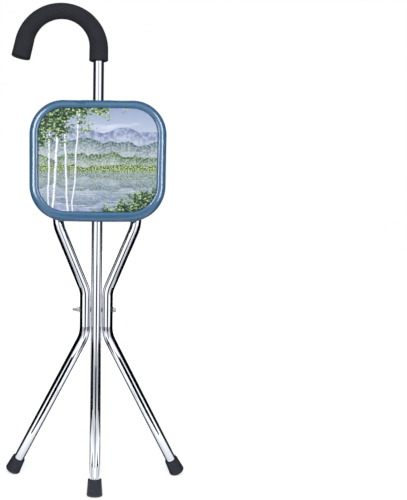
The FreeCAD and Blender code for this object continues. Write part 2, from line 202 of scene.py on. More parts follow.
def makePlatedZinc(spec):
    material, tree = newMaterial("barrelPlatedZinc")
    place = addNode(tree, "ShaderNodeTexCoord").outputs["Object"]
    tint = addNode(tree, "ShaderNodeTexNoise", {"Vector": place, "Scale": perMetre(spec["tintSize"]), "Detail": 3.0})
    grain = addNode(tree, "ShaderNodeTexNoise", {"Vector": place, "Scale": perMetre(spec["grainSize"]), "Detail": 4.0})
    colour = addNode(tree, "ShaderNodeMix", {0: tint.outputs["Fac"], 6: linear(spec["blue"]),
                                             7: linear(spec["straw"])}, data_type="RGBA")
    gloss = addNode(tree, "ShaderNodeMapRange", {"Value": grain.outputs["Fac"], "From Min": 0.3, "From Max": 0.7,
                                                 "To Min": spec["bright"], "To Max": spec["dull"]})
    bump = addNode(tree, "ShaderNodeBump", {"Height": grain.outputs["Fac"], "Strength": 1.0,
                                            "Distance": spec["grainDepth"] / 1000})
    shader = addNode(tree, "ShaderNodeBsdfPrincipled", {
        "Base Color": colour.outputs[2], "Metallic": 1.0, "Roughness": gloss.outputs[0], "Normal": bump.outputs[0]})
    addNode(tree, "ShaderNodeOutputMaterial", {"Surface": shader.outputs[0]})
    return material


# blue ABS: injection moulded in a polished tool. Deep gloss with the slow ripple of moulded
# plastic and hairline rub marks that take the edge off it.
glossAbs = {
    "body": "#436c8e",
    "shade": "#3b6589",
    "shadeSize": 70,
    "rippleSize": 7,
    "rippleDepth": 0.012,
    "rubSize": 1.6,
    "polished": 0.14,
    "rubbed": 0.22,
}


def makeGlossAbs(spec):
    material, tree = newMaterial("mouldedBlueAbs")
    place = addNode(tree, "ShaderNodeTexCoord").outputs["Object"]
    shade = addNode(tree, "ShaderNodeTexNoise", {"Vector": place, "Scale": perMetre(spec["shadeSize"]), "Detail": 2.0})
    ripple = addNode(tree, "ShaderNodeTexNoise", {"Vector": place, "Scale": perMetre(spec["rippleSize"]),
                                                  "Detail": 1.0})
    rubs = addNode(tree, "ShaderNodeTexNoise", {"Vector": place, "Scale": perMetre(spec["rubSize"]), "Detail": 8.0,
                                                "Roughness": 0.7, "Distortion": 1.5})
    colour = addNode(tree, "ShaderNodeMix", {0: shade.outputs["Fac"], 6: linear(spec["body"]),
                                             7: linear(spec["shade"])}, data_type="RGBA")
    gloss = addNode(tree, "ShaderNodeMapRange", {"Value": rubs.outputs["Fac"], "From Min": 0.45, "From Max": 0.75,
                                                 "To Min": spec["polished"], "To Max": spec["rubbed"]})
    bump = addNode(tree, "ShaderNodeBump", {"Height": ripple.outputs["Fac"], "Strength": 1.0,
                                            "Distance": spec["rippleDepth"] / 1000})
    shader = addNode(tree, "ShaderNodeBsdfPrincipled", {
        "Base Color": colour.outputs[2], "Roughness": gloss.outputs[0], "IOR": 1.54, "Normal": bump.outputs[0]})
    addNode(tree, "ShaderNodeOutputMaterial", {"Surface": shader.outputs[0]})
    return material


# foot rubber: compression moulded, a dark grey with a blue cast, matt from the sand-blasted
# mould, and dusty towards the tread.
footRubber = {
    "body": "#282a35",
    "rubbed": "#3f414f",
    "grainSize": 0.7,         # real grain 0.2 mm, drawn coarser
    "grainDepth": 0.05,
    "scuffSize": 5,
    "dust": "#7b7973",
    "dustHeight": 7,          # mm above the floor
    "roughness": 0.58,
}


def makeFootRubber(spec):
    material, tree = newMaterial("mouldedFootRubber")
    place = addNode(tree, "ShaderNodeTexCoord").outputs["Object"]
    grain = addNode(tree, "ShaderNodeTexNoise", {"Vector": place, "Scale": perMetre(spec["grainSize"]), "Detail": 3.0})
    scuffs = addNode(tree, "ShaderNodeTexNoise", {"Vector": place, "Scale": perMetre(spec["scuffSize"]), "Detail": 6.0,
                                                  "Roughness": 0.65})
    worn = addNode(tree, "ShaderNodeMapRange", {"Value": scuffs.outputs["Fac"], "From Min": 0.48, "From Max": 0.75,
                                                "To Min": 0.0, "To Max": 0.55})
    body = addNode(tree, "ShaderNodeMix", {0: worn.outputs[0], 6: linear(spec["body"]), 7: linear(spec["rubbed"])},
                   data_type="RGBA")
    height = addNode(tree, "ShaderNodeSeparateXYZ", {"Vector": place}).outputs["Z"]
    low = addNode(tree, "ShaderNodeMapRange", {"Value": height, "From Min": 0.0, "From Max": spec["dustHeight"] / 1000,
                                               "To Min": 0.5, "To Max": 0.0})
    dusty = addNode(tree, "ShaderNodeMath", {0: low.outputs[0], 1: scuffs.outputs["Fac"]}, operation="MULTIPLY")
    colour = addNode(tree, "ShaderNodeMix", {0: dusty.outputs[0], 6: body.outputs[2], 7: linear(spec["dust"])},
                     data_type="RGBA")
    bump = addNode(tree, "ShaderNodeBump", {"Height": grain.outputs["Fac"], "Strength": 1.0,
                                            "Distance": spec["grainDepth"] / 1000})
    shader = addNode(tree, "ShaderNodeBsdfPrincipled", {
        "Base Color": colour.outputs[2], "Roughness": spec["roughness"], "IOR": 1.52, "Specular IOR Level": 0.3,
        "Normal": bump.outputs[0]})
    addNode(tree, "ShaderNodeOutputMaterial", {"Surface": shader.outputs[0]})
    return material


# black nylon: moulded with a fine spark-eroded grain, nearly matt
grainedNylon = {
    "body": "#191a1d",
    "pale": "#24262a",
    "grainSize": 0.8,
    "grainDepth": 0.03,
    "roughness": 0.46,
}


def makeGrainedNylon(spec):
    material, tree = newMaterial("grainedBlackNylon")
    place = addNode(tree, "ShaderNodeTexCoord").outputs["Object"]
    grain = addNode(tree, "ShaderNodeTexNoise", {"Vector": place, "Scale": perMetre(spec["grainSize"]), "Detail": 3.0})
    colour = addNode(tree, "ShaderNodeMix", {0: grain.outputs["Fac"], 6: linear(spec["body"]),
                                             7: linear(spec["pale"])}, data_type="RGBA")
    bump = addNode(tree, "ShaderNodeBump", {"Height": grain.outputs["Fac"], "Strength": 1.0,
                                            "Distance": spec["grainDepth"] / 1000})
    shader = addNode(tree, "ShaderNodeBsdfPrincipled", {
        "Base Color": colour.outputs[2], "Roughness": spec["roughness"], "IOR": 1.53, "Normal": bump.outputs[0]})
    addNode(tree, "ShaderNodeOutputMaterial", {"Surface": shader.outputs[0]})
    return material


# grip foam: closed-cell rubber foam with a ground skin. Almost black, dead matt, with fine
# open cells darkened with painted shade, and slow lighter patches where hands have polished it.
gripFoam = {
    "body": "#26272d",
    "pale": "#313238",
    # colour of the painted shade in the open cells
    "poreShade": "#1a1b1f",
    "cellSize": 1.1,          # real cells 0.3 mm, drawn larger so that they show
    "cellDepth": 0.09,
    "patchSize": 26,
    "roughness": 0.86,
}


def makeGripFoam(spec):
    material, tree = newMaterial("closedCellFoam")
    place = addNode(tree, "ShaderNodeTexCoord").outputs["Object"]
    cells = addNode(tree, "ShaderNodeTexVoronoi", {"Vector": place, "Scale": perMetre(spec["cellSize"])})
    fuzz = addNode(tree, "ShaderNodeTexNoise", {"Vector": place, "Scale": perMetre(spec["cellSize"] * 0.8),
                                                "Detail": 4.0})
    patches = addNode(tree, "ShaderNodeTexNoise", {"Vector": place, "Scale": perMetre(spec["patchSize"]),
                                                   "Detail": 3.0})
    pores = addNode(tree, "ShaderNodeMapRange", {"Value": cells.outputs["Distance"], "From Min": 0.0, "From Max": 0.42,
                                                 "To Min": 0.0, "To Max": 1.0})
    ground = addNode(tree, "ShaderNodeMix", {0: patches.outputs["Fac"], 6: linear(spec["body"]),
                                             7: linear(spec["pale"])}, data_type="RGBA")
    # the open cells are painted darker where the bump dips: painted shade in the pores
    colour = addNode(tree, "ShaderNodeMix", {0: pores.outputs[0], 6: linear(spec["poreShade"]), 7: ground.outputs[2]},
                     data_type="RGBA")
    relief = addNode(tree, "ShaderNodeMath", {0: pores.outputs[0], 1: fuzz.outputs["Fac"]}, operation="ADD")
    bump = addNode(tree, "ShaderNodeBump", {"Height": relief.outputs[0], "Strength": 1.0,
                                            "Distance": spec["cellDepth"] / 1000})
    shader = addNode(tree, "ShaderNodeBsdfPrincipled", {
        "Base Color": colour.outputs[2], "Roughness": spec["roughness"], "IOR": 1.5, "Specular IOR Level": 0.2,
        "Normal": bump.outputs[0]})
    addNode(tree, "ShaderNodeOutputMaterial", {"Surface": shader.outputs[0]})
    return material


# printed sheet: a gloss laminate with a lakeside print, misty hills over still water, birch
# stems at the left and leaves at the top left and the lower right. All its sizes are
# millimetres on the sheet, and a pair is where a change begins and ends.
lakePrint = {
    "centre": (0, -35, 261.3),   # the sheet's middle, in the stick's frame
    "shore": -20,
    "softShore": 0.3,
    "skyTop": 90,
    "mistHigh": "#90a0c0",
    "mistLow": "#dfe4ee",
    "clouds": {"width": 70, "height": 18, "seed": 9.4, "shows": (0.5, 0.75)},
    "hills": [                   # from far to near
        {"base": 52, "swing": 26, "width": 85, "trees": 2.0, "treeWidth": 9, "light": "#a3afcc", "dark": "#6b7aa0",
         "mist": 58, "leaf": 7},
        {"base": 28, "swing": 28, "width": 60, "trees": 6.0, "treeWidth": 6, "light": "#8fa6a8", "dark": "#3c585f",
         "mist": 46, "leaf": 4},
        {"base": 4, "swing": 22, "width": 46, "trees": 10.0, "treeWidth": 6, "light": "#92b184", "dark": "#1d3a2f",
         "mist": 40, "leaf": 3},
        {"base": -12, "swing": 9, "width": 30, "trees": 8.0, "treeWidth": 4, "light": "#b4cf84", "dark": "#152a1c",
         "mist": 90, "leaf": 2.4},
    ],
    "hillEdge": 0.4,
    "hillLeaves": (0.42, 0.6),
    "mistFrom": 2.0,
    "ripples": {"width": 34, "height": 1.9, "seed": 3.1, "shakeAcross": 9.0, "shakeUp": 6.0},
    "water": "#8f9ebd",
    "waterShare": 0.42,
    "glint": "#f7f9fd",
    "streaks": {"width": 46, "height": 1.3, "seed": 17.0, "shows": (0.58, 0.7), "share": 0.8, "depth": 30.0},
    "stems": [(-72, 5.2, 0.05), (-55, 4.2, -0.03), (-84, 3.4, 0.02), (-38, 3.2, 0.06)],   # x, width, slope
    "stemBend": 12.0,
    "stemBendLength": 55,
    "stemEdge": 0.25,
    "bark": "#f1f3f8",
    "barkShade": "#7f899d",
    "barkMark": "#22292c",
    "marks": {"width": 4.5, "height": 1.6, "shows": (0.6, 0.66)},
    "leafLight": "#bcd79b",
    "leafMid": "#4f7a4d",
    "leafDark": "#10231a",
    "leafSquash": 0.72,          # a leaf's height against its width
    "leafTones": (0.15, 0.6, 0.9),
    "leafGap": (0.42, 0.62),
    "leafGapShare": 0.7,
    "leafy": [                   # the crown of the birches, then the grass; edge is across, up
        {"leaf": 3.6, "seed": 61.0, "edge": (-0.55, 0.9), "raggedWidth": 26, "raggedHeight": 20, "ragged": 110.0,
         "loose": 34.0, "from": (72.0, 76.0)},
        {"leaf": 3.0, "seed": 71.0, "edge": (0.42, -1.0), "raggedWidth": 17, "raggedHeight": 26, "ragged": 70.0,
         "loose": 22.0, "from": (86.0, 89.0)},
    ],
    "rubSize": 3.5,
    "gloss": 0.13,
    "worn": 0.24,
}


def makeLakePrint(spec):
    material, tree = newMaterial("printedGlossLaminate")
    add = partial(addNode, tree)
    place = add("ShaderNodeTexCoord").outputs["Object"]
    flat = add("ShaderNodeVectorMath", {0: place, 1: onStick(*spec["centre"])}, operation="SUBTRACT")
    millimetres = add("ShaderNodeVectorMath", {0: flat.outputs[0], "Scale": 1000.0}, operation="SCALE")
    axes = add("ShaderNodeSeparateXYZ", {"Vector": millimetres.outputs[0]})
    across, up = axes.outputs["X"], axes.outputs["Z"]

    def patchesOf(x, y, width, height, seed, detail=2.0):  # from 0 to 1, in patches of that size
        column = add("ShaderNodeMath", {0: x, 1: width}, operation="DIVIDE")
        row = add("ShaderNodeMath", {0: y, 1: height}, operation="DIVIDE")
        spot = add("ShaderNodeCombineXYZ", {0: column.outputs[0], 1: row.outputs[0], 2: seed})
        return add("ShaderNodeTexNoise", {"Vector": spot.outputs[0], "Scale": 1.0, "Detail": detail}).outputs["Fac"]

    # below the shore everything is mirrored, and shaken by the ripples
    low = add("ShaderNodeMath", {0: spec["shore"], 1: up}, operation="SUBTRACT").outputs[0]
    inWater = add("ShaderNodeMapRange", {"Value": low, "From Min": -spec["softShore"],
                                         "From Max": spec["softShore"]}).outputs[0]
    wave = spec["ripples"]
    ripples = patchesOf(across, up, wave["width"], wave["height"], wave["seed"])
    ripples = add("ShaderNodeMath", {0: ripples, 1: 0.5}, operation="SUBTRACT").outputs[0]
    shake = add("ShaderNodeMath", {0: ripples, 1: inWater}, operation="MULTIPLY").outputs[0]
    seenX = add("ShaderNodeMath", {0: shake, 1: wave["shakeAcross"], 2: across}, operation="MULTIPLY_ADD").outputs[0]
    fromShore = add("ShaderNodeMath", {0: low}, operation="ABSOLUTE").outputs[0]
    folded = add("ShaderNodeMath", {0: fromShore, 1: spec["shore"]}, operation="ADD").outputs[0]
    seenUp = add("ShaderNodeMath", {0: shake, 1: wave["shakeUp"], 2: folded}, operation="MULTIPLY_ADD").outputs[0]

    # sky and clouds
    high = add("ShaderNodeMapRange", {"Value": seenUp, "From Min": spec["shore"], "From Max": spec["skyTop"]})
    picture = add("ShaderNodeMix", {0: high.outputs[0], 6: linear(spec["mistLow"]), 7: linear(spec["mistHigh"])},
                  data_type="RGBA").outputs[2]
    cloud = spec["clouds"]
    puffs = patchesOf(seenX, seenUp, cloud["width"], cloud["height"], cloud["seed"], 4.0)
    shown = add("ShaderNodeMapRange", {"Value": puffs, "From Min": cloud["shows"][0], "From Max": cloud["shows"][1]})
    picture = add("ShaderNodeMix", {0: shown.outputs[0], 6: picture, 7: linear(spec["mistLow"])},
                  data_type="RGBA").outputs[2]

    for i, hill in enumerate(spec["hills"]):
        swell = add("ShaderNodeMath", {0: patchesOf(seenX, 0.0, hill["width"], 1, 11.3 + i * 7), 1: hill["swing"] * 2,
                                       2: hill["base"] - hill["swing"]}, operation="MULTIPLY_ADD")
        trees = patchesOf(seenX, seenUp, hill["treeWidth"], hill["treeWidth"] * 3, 2.7 + i * 5, 5.0)
        ridge = add("ShaderNodeMath", {0: trees, 1: hill["trees"], 2: swell.outputs[0]}, operation="MULTIPLY_ADD")
        above = add("ShaderNodeMath", {0: ridge.outputs[0], 1: seenUp}, operation="SUBTRACT").outputs[0]
        mask = add("ShaderNodeMapRange", {"Value": above, "From Min": -spec["hillEdge"], "From Max": spec["hillEdge"]})
        leaves = patchesOf(seenX, seenUp, hill["leaf"], hill["leaf"], 31.0 + i * 3, 6.0)
        lit = add("ShaderNodeMapRange", {"Value": leaves, "From Min": spec["hillLeaves"][0],
                                         "From Max": spec["hillLeaves"][1]})
        tone = add("ShaderNodeMix", {0: lit.outputs[0], 6: linear(hill["dark"]), 7: linear(hill["light"])},
                   data_type="RGBA").outputs[2]
        mist = add("ShaderNodeMapRange", {"Value": above, "From Min": spec["mistFrom"], "From Max": hill["mist"]})
        tone = add("ShaderNodeMix", {0: mist.outputs[0], 6: tone, 7: linear(spec["mistLow"])},
                   data_type="RGBA").outputs[2]
        picture = add("ShaderNodeMix", {0: mask.outputs[0], 6: picture, 7: tone}, data_type="RGBA").outputs[2]

    # water over what it mirrors, and bright streaks on it
    wet = add("ShaderNodeMath", {0: inWater, 1: spec["waterShare"]}, operation="MULTIPLY")
    picture = add("ShaderNodeMix", {0: wet.outputs[0], 6: picture, 7: linear(spec["water"])},
                  data_type="RGBA").outputs[2]
    streak = spec["streaks"]
    streaks = add("ShaderNodeMapRange", {
        "Value": patchesOf(across, up, streak["width"], streak["height"], streak["seed"], 3.0),
        "From Min": streak["shows"][0], "From Max": streak["shows"][1]})
    deep = add("ShaderNodeMapRange", {"Value": low, "From Min": 0.0, "From Max": streak["depth"],
                                      "To Max": streak["share"]})
    onWater = add("ShaderNodeMath", {0: streaks.outputs[0], 1: inWater}, operation="MULTIPLY")
    bright = add("ShaderNodeMath", {0: onWater.outputs[0], 1: deep.outputs[0]}, operation="MULTIPLY")
    picture = add("ShaderNodeMix", {0: bright.outputs[0], 6: picture, 7: linear(spec["glint"])},
                  data_type="RGBA").outputs[2]

    for i, (x, width, slope) in enumerate(spec["stems"]):
        lean = add("ShaderNodeMath", {0: up, 1: slope, 2: x - spec["stemBend"] / 2}, operation="MULTIPLY_ADD")
        bend = patchesOf(up, 0.0, spec["stemBendLength"], 1, 41.0 + i * 3)
        middle = add("ShaderNodeMath", {0: bend, 1: spec["stemBend"], 2: lean.outputs[0]}, operation="MULTIPLY_ADD")
        off = add("ShaderNodeMath", {0: across, 1: middle.outputs[0]}, operation="SUBTRACT").outputs[0]
        size = add("ShaderNodeMath", {0: off}, operation="ABSOLUTE")
        inside = add("ShaderNodeMath", {0: width / 2, 1: size.outputs[0]}, operation="SUBTRACT")
        mask = add("ShaderNodeMapRange", {"Value": inside.outputs[0], "From Min": -spec["stemEdge"],
                                          "From Max": spec["stemEdge"]})
        turned = add("ShaderNodeMapRange", {"Value": off, "From Min": 0.0, "From Max": width / 2})
        bark = add("ShaderNodeMix", {0: turned.outputs[0], 6: linear(spec["bark"]), 7: linear(spec["barkShade"])},
                   data_type="RGBA").outputs[2]
        mark = spec["marks"]
        marks = add("ShaderNodeMapRange", {"Value": patchesOf(off, up, mark["width"], mark["height"], 53.0 + i, 3.0),
                                           "From Min": mark["shows"][0], "From Max": mark["shows"][1]})
        bark = add("ShaderNodeMix", {0: marks.outputs[0], 6: bark, 7: linear(spec["barkMark"])},
                   data_type="RGBA").outputs[2]
        picture = add("ShaderNodeMix", {0: mask.outputs[0], 6: picture, 7: bark}, data_type="RGBA").outputs[2]

    # leaves: small cells, each with its own tone, thinning out at the edge of the crown
    dark, middle, light = spec["leafTones"]
    for leafy in spec["leafy"]:
        column = add("ShaderNodeMath", {0: across, 1: leafy["leaf"]}, operation="DIVIDE")
        row = add("ShaderNodeMath", {0: up, 1: leafy["leaf"] * spec["leafSquash"]}, operation="DIVIDE")
        spot = add("ShaderNodeCombineXYZ", {0: column.outputs[0], 1: row.outputs[0], 2: leafy["seed"]})
        cells = add("ShaderNodeTexVoronoi", {"Vector": spot.outputs[0], "Scale": 1.0, "Randomness": 1.0})
        pick = add("ShaderNodeSeparateColor", {0: cells.outputs["Color"]}).outputs[0]
        first = add("ShaderNodeMapRange", {"Value": pick, "From Min": dark, "From Max": middle})
        tone = add("ShaderNodeMix", {0: first.outputs[0], 6: linear(spec["leafDark"]), 7: linear(spec["leafMid"])},
                   data_type="RGBA").outputs[2]
        second = add("ShaderNodeMapRange", {"Value": pick, "From Min": middle, "From Max": light})
        tone = add("ShaderNodeMix", {0: second.outputs[0], 6: tone, 7: linear(spec["leafLight"])},
                   data_type="RGBA").outputs[2]
        gap = add("ShaderNodeMapRange", {"Value": cells.outputs["Distance"], "From Min": spec["leafGap"][0],
                                         "From Max": spec["leafGap"][1], "To Max": spec["leafGapShare"]})
        tone = add("ShaderNodeMix", {0: gap.outputs[0], 6: tone, 7: linear(spec["leafDark"])},
                   data_type="RGBA").outputs[2]
        alongUp = add("ShaderNodeMath", {0: up, 1: leafy["edge"][1]}, operation="MULTIPLY")
        edge = add("ShaderNodeMath", {0: across, 1: leafy["edge"][0], 2: alongUp.outputs[0]}, operation="MULTIPLY_ADD")
        ragged = patchesOf(across, up, leafy["raggedWidth"], leafy["raggedHeight"], leafy["seed"] + 6.0, 3.0)
        edge = add("ShaderNodeMath", {0: ragged, 1: leafy["ragged"], 2: edge.outputs[0]}, operation="MULTIPLY_ADD")
        edge = add("ShaderNodeMath", {0: pick, 1: leafy["loose"], 2: edge.outputs[0]}, operation="MULTIPLY_ADD")
        raised = (leafy["ragged"] + leafy["loose"]) / 2
        mask = add("ShaderNodeMapRange", {"Value": edge.outputs[0], "From Min": leafy["from"][0] + raised,
                                          "From Max": leafy["from"][1] + raised})
        picture = add("ShaderNodeMix", {0: mask.outputs[0], 6: picture, 7: tone}, data_type="RGBA").outputs[2]

    rubs = add("ShaderNodeTexNoise", {"Vector": place, "Scale": perMetre(spec["rubSize"]), "Detail": 7.0,
                                      "Distortion": 1.2})
    gloss = add("ShaderNodeMapRange", {"Value": rubs.outputs["Fac"], "From Min": 0.45, "From Max": 0.75,
                                       "To Min": spec["gloss"], "To Max": spec["worn"]})
    shader = add("ShaderNodeBsdfPrincipled", {"Base Color": picture, "Roughness": gloss.outputs[0], "IOR": 1.49})
    add("ShaderNodeOutputMaterial", {"Surface": shader.outputs[0]})
    return material


print("materials on the solids")
legSplay = {"side": 26.8, "rear": 24.4}   # degrees, of the legs' lower parts
legRight = Vector((math.tan(math.radians(legSplay["side"])), math.tan(math.radians(legSplay["rear"])), -1))
straightChrome = makeChromedTube("chromedStick", chromedTube, stickUp)
rightChrome = makeChromedTube("chromedRightLeg", chromedTube, legRight)
leftChrome = makeChromedTube("chromedLeftLeg", chromedTube, Vector((-legRight.x, legRight.y, legRight.z)))
finish(["main_tube"], straightChrome)
finish(["right_leg_tube"], rightChrome)
finish(["left_leg_tube"], leftChrome)
finish(["pivot_bolt", "pivot_nut", "pivot_washers", "pivot_spacers", "stop_rivet", "right_leg_bracket",
        "left_leg_bracket", "leg_bracket_screws", "collar_bracket", "collar_bracket_screws", "right_hinge_bolt",
        "left_hinge_bolt", "right_hinge_nut", "left_hinge_nut", "collar_pins", "centre_foot_washer",
        "right_foot_washer", "left_foot_washer"], makePlatedZinc(platedZinc))
finish(["centre_foot", "right_foot", "left_foot"], makeFootRubber(footRubber))
finish(["slide_collar", "stop_ring", "right_leg_plug", "left_leg_plug"],
       makeGrainedNylon(grainedNylon))
finish(["seat_frame"], makeGlossAbs(glossAbs))
finish(["seat_panel"], makeLakePrint(lakePrint))


# the foam grip: one sleeve pulled over the crook, fuller at both ends and closed at the tip
grip = {
    "crookRise": 462.4,       # where the tube starts to bend, in the stick's frame
    "crookRadius": 66.4,
    "crookTurn": 167.0,
    "tail": 33.0,
    "arm": 21.9,              # down the straight of the stick
    "endRadius": 17.2,
    "crownRadius": 14.3,
    "lip": 2.4,               # rounding at the mouth
    "tipLip": 2.9,
    "bore": 9.56,
    "boreDepth": 40.0,        # how far up the bore the sleeve is drawn
    "boreRound": 0.9,
    "endDrop": 0.35,          # the ends' least swelling
    "swellPower": 1.7,
    "tipDish": 0.5,
    "around": 72,
    "steps": 110,
    "lumpSize": 17.0,
    "lumpDepth": 0.28,
    "wrinkleDepth": 0.10,
    "wrinkleSpacing": 5.2,
}


def crookSpot(distance):  # centre and heading, at a distance along the sleeve from its mouth
    arc = math.radians(grip["crookTurn"]) * grip["crookRadius"]
    if distance <= grip["arm"]:
        return Vector((0, 0, grip["crookRise"] - grip["arm"] + distance)), Vector((0, 0, 1))
    turn = min(distance - grip["arm"], arc) / grip["crookRadius"]
    spot = Vector((grip["crookRadius"] * (math.cos(turn) - 1), 0,
                   grip["crookRise"] + grip["crookRadius"] * math.sin(turn)))
    heading = Vector((-math.sin(turn), 0, math.cos(turn)))
    return spot + heading * max(0.0, distance - grip["arm"] - arc), heading


def gripRadius(distance):
    arc = math.radians(grip["crookTurn"]) * grip["crookRadius"]
    swell = abs((distance - grip["arm"]) / arc * 2 - 1)
    least = grip["endRadius"] - grip["endDrop"]
    if swell > 1:
        return least + grip["endDrop"] * min(1.0, (swell - 1) * 3)
    return grip["crownRadius"] + (least - grip["crownRadius"]) * swell ** grip["swellPower"]


def buildGrip():
    arc = math.radians(grip["crookTurn"]) * grip["crookRadius"]
    whole = grip["arm"] + arc + grip["tail"]
    rings = []                # (distance along, radius, share of the surface unevenness)
    for i in range(7):        # down the bore, then round the mouth
        rings.append((grip["lip"] + grip["boreDepth"] * (1 - i / 6), grip["bore"], 0))
    for i in range(1, 5):
        a = math.pi / 2 * i / 4
        rings.append((grip["lip"] * 0.4 * (1 - math.sin(a)), grip["bore"] + grip["boreRound"] * (1 - math.cos(a)), 0))
    outer = gripRadius(0)
    rings.append((0.0, (grip["bore"] + outer - grip["lip"]) / 2 + 0.6, 0.3))
    for i in range(7):
        a = math.pi / 2 * i / 6
        rings.append((grip["lip"] * (1 - math.cos(a)), outer - grip["lip"] * (1 - math.sin(a)), 0.6))
    for i in range(1, grip["steps"]):
        d = grip["lip"] + (whole - grip["lip"] - grip["tipLip"]) * i / grip["steps"]
        rings.append((d, gripRadius(d), 1))
    tip = gripRadius(whole)
    for i in range(8):
        a = math.pi / 2 * i / 7
        rings.append((whole - grip["tipLip"] * (1 - math.sin(a)), tip - grip["tipLip"] * (1 - math.cos(a)), 0.8))
    for share in (0.78, 0.55, 0.3, 0.1):
        dish = grip["tipDish"] * (1 - (share / 0.83) ** 2)
        rings.append((whole - dish, tip * share, 0.8))

    mesh = bmesh.new()
    loops = []
    for distance, radius, uneven in rings:
        centre, heading = crookSpot(distance)
        outward = Vector((0, 1, 0)).cross(heading)
        loop = []
        for k in range(grip["around"]):
            angle = 2 * math.pi * k / grip["around"]
            ray = outward * math.cos(angle) + Vector((0, 1, 0)) * math.sin(angle)
            spot = centre + ray * radius
            lump = noise.noise(spot / grip["lumpSize"]) * 0.5 - 0.5
            inside = max(0.0, -math.cos(angle)) if grip["arm"] < distance < grip["arm"] + arc else 0.0
            wrinkle = math.sin(distance / grip["wrinkleSpacing"] * 2 * math.pi + noise.noise(spot / 9) * 5) * 0.5 - 0.5
            inward = uneven * (lump * grip["lumpDepth"] + inside ** 2 * wrinkle * grip["wrinkleDepth"])
            loop.append(mesh.verts.new(onStick(*(spot + ray * inward))))
        loops.append(loop)
    for first, second in zip(loops, loops[1:]):
        for k in range(grip["around"]):
            n = (k + 1) % grip["around"]
            mesh.faces.new((first[k], first[n], second[n], second[k]))
    mesh.faces.new(loops[-1])
    mesh.faces.new(list(reversed(loops[0])))
    bmesh.ops.recalc_face_normals(mesh, faces=mesh.faces)
    data = bpy.data.meshes.new("foamGrip")
    mesh.to_mesh(data)
    mesh.free()
    for face in data.polygons:
        face.use_smooth = True
    piece = bpy.data.objects.new("foamGrip", data)
    scene.collection.objects.link(piece)
    data.materials.append(makeGripFoam(gripFoam))
    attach(piece, "stick")
    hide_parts("handle_grip")


buildGrip()
print("grip built")


# floor, light and surroundings
studio = {
    "floorSize": 9.0,
    "floorColour": "#dcdcdc",
    "floorLift": 0.62,        # white added for the camera, near the object
    "floorShine": 1.05,       # and for reflections, in front of the object
    "floorShade": 0.12,       # behind it
    "floorFar": 0.22,         # and further out
    "fadeFrom": 0.35,         # metres out, where the floor starts to turn plain white
    "fadeTo": 1.5,
    "fillColour": "#f4f6fa",
    "fill": 0.38,             # the room's own light
    "lamps": [                # place, what it aims at, width, height, watts
        ("keyBox", (0.0, -2.3, 1.6), (0, 0, 0.45), 1.8, 1.2, 50.0),
    ],
    "mirrorGlow": 1.42,       # the white room, as bright metal shows it
    "black": "#050507",
    "dark": "#2b2d31",
    "grey": "#4c4e54",
    "pale": "#cdcfd6",
    "white": "#f6f7f9",
    "shineFalls": (-0.06, 0.10),   # from front to rear
    "farFloor": (0.45, 1.0),  # how far out the mirrored floor changes to floorFar
    "shineStrength": 15.0,    # of the two soft boxes, which light the seat alone
}
# cards round the object, seen only in reflections: (name, finish, corners). The pairs are given
# for the right-hand side, and repeated at the left.
pairedCards = [
    ("lowSide", "black", [(1.0, -0.85, 0.002), (1.0, 2.2, 0.002), (1.0, 2.2, 0.7), (1.0, -0.5, 0.7),
                          (1.0, -0.5, 0.45), (1.0, -0.75, 0.2)]),
    ("highSide", "dark", [(1.0, -0.58, 0.7), (1.0, 2.2, 0.7), (1.0, 2.2, 2.0), (1.0, -0.58, 2.0)]),
    ("rear", "black", [(1.0, 2.2, 2.0), (0.35, 2.3, 2.0), (0.35, 2.3, 0.002), (1.0, 2.2, 0.002)]),
    ("floorWing", "black", [(0.40, 0.12, 0.001), (0.72, -0.12, 0.001), (1.0, -0.5, 0.001), (1.0, 2.2, 0.001),
                            (0.40, 2.2, 0.001)]),
    ("floorStrip", "black", [(0.40, -0.36, 0.001), (0.385, -0.275, 0.001), (0.285, -0.142, 0.001),
                             (0.24, -0.07, 0.001), (0.165, -0.055, 0.001), (0.098, -0.088, 0.001),
                             (0.058, -0.165, 0.001), (0.03, -0.26, 0.001)]),
    ("floorSnow", "white", [(0.62, -0.95, 0.001), (2.8, -0.95, 0.001), (2.8, -4.4, 0.001), (0.62, -4.4, 0.001)]),
    ("footScreen", "white", [(0.020, -0.114, 0.0), (0.058, -0.0735, 0.0), (0.058, -0.0735, 0.046),
                             (0.020, -0.114, 0.046)]),
]
singleCards = [
    ("frontSlit", "black", [(-0.24, -1.45, 0.0), (0.40, -1.45, 0.0), (0.46, -1.45, 0.36), (0.46, -1.45, 0.50),
                            (-0.27, -1.45, 0.50), (-0.27, -1.45, 0.36)]),
    ("frontHaze", "grey", [(-0.24, -1.45, 0.50), (0.38, -1.45, 0.50), (0.36, -1.45, 0.64), (-0.22, -1.45, 0.64)]),
    ("frontTall", "pale", [(-0.24, -1.45, 0.64), (0.36, -1.45, 0.64), (0.36, -1.45, 1.40), (-0.24, -1.45, 1.40)]),
    ("frontPale", "pale", [(-1.6, -1.5, 0.0), (1.6, -1.5, 0.0), (1.6, -1.5, 0.16), (-1.6, -1.5, 0.16)]),
    ("floorSlit", "grey", [(-0.04, -0.42, 0.001), (0.06, -0.42, 0.001), (0.3, -1.44, 0.001), (-0.2, -1.44, 0.001)]),
    ("floorRear", "grey", [(-0.34, 0.05, 0.001), (0.34, 0.05, 0.001), (0.34, 0.6, 0.001), (-0.34, 0.6, 0.001)]),
    ("ceiling", "black", [(-1.0, -0.5, 2.0), (1.0, -0.5, 2.0), (1.0, 2.2, 2.0), (-1.0, 2.2, 2.0)]),
    ("leftBox", "shine", [(-0.525, -0.96, 0.45), (-0.89, -0.606, 0.45), (-0.89, -0.606, 1.5), (-0.525, -0.96, 1.5)]),
    ("rightBox", "shine", [(0.646, -0.877, 0.35), (0.87, -0.637, 0.35), (0.87, -0.637, 1.5), (0.646, -0.877, 1.5)]),
]


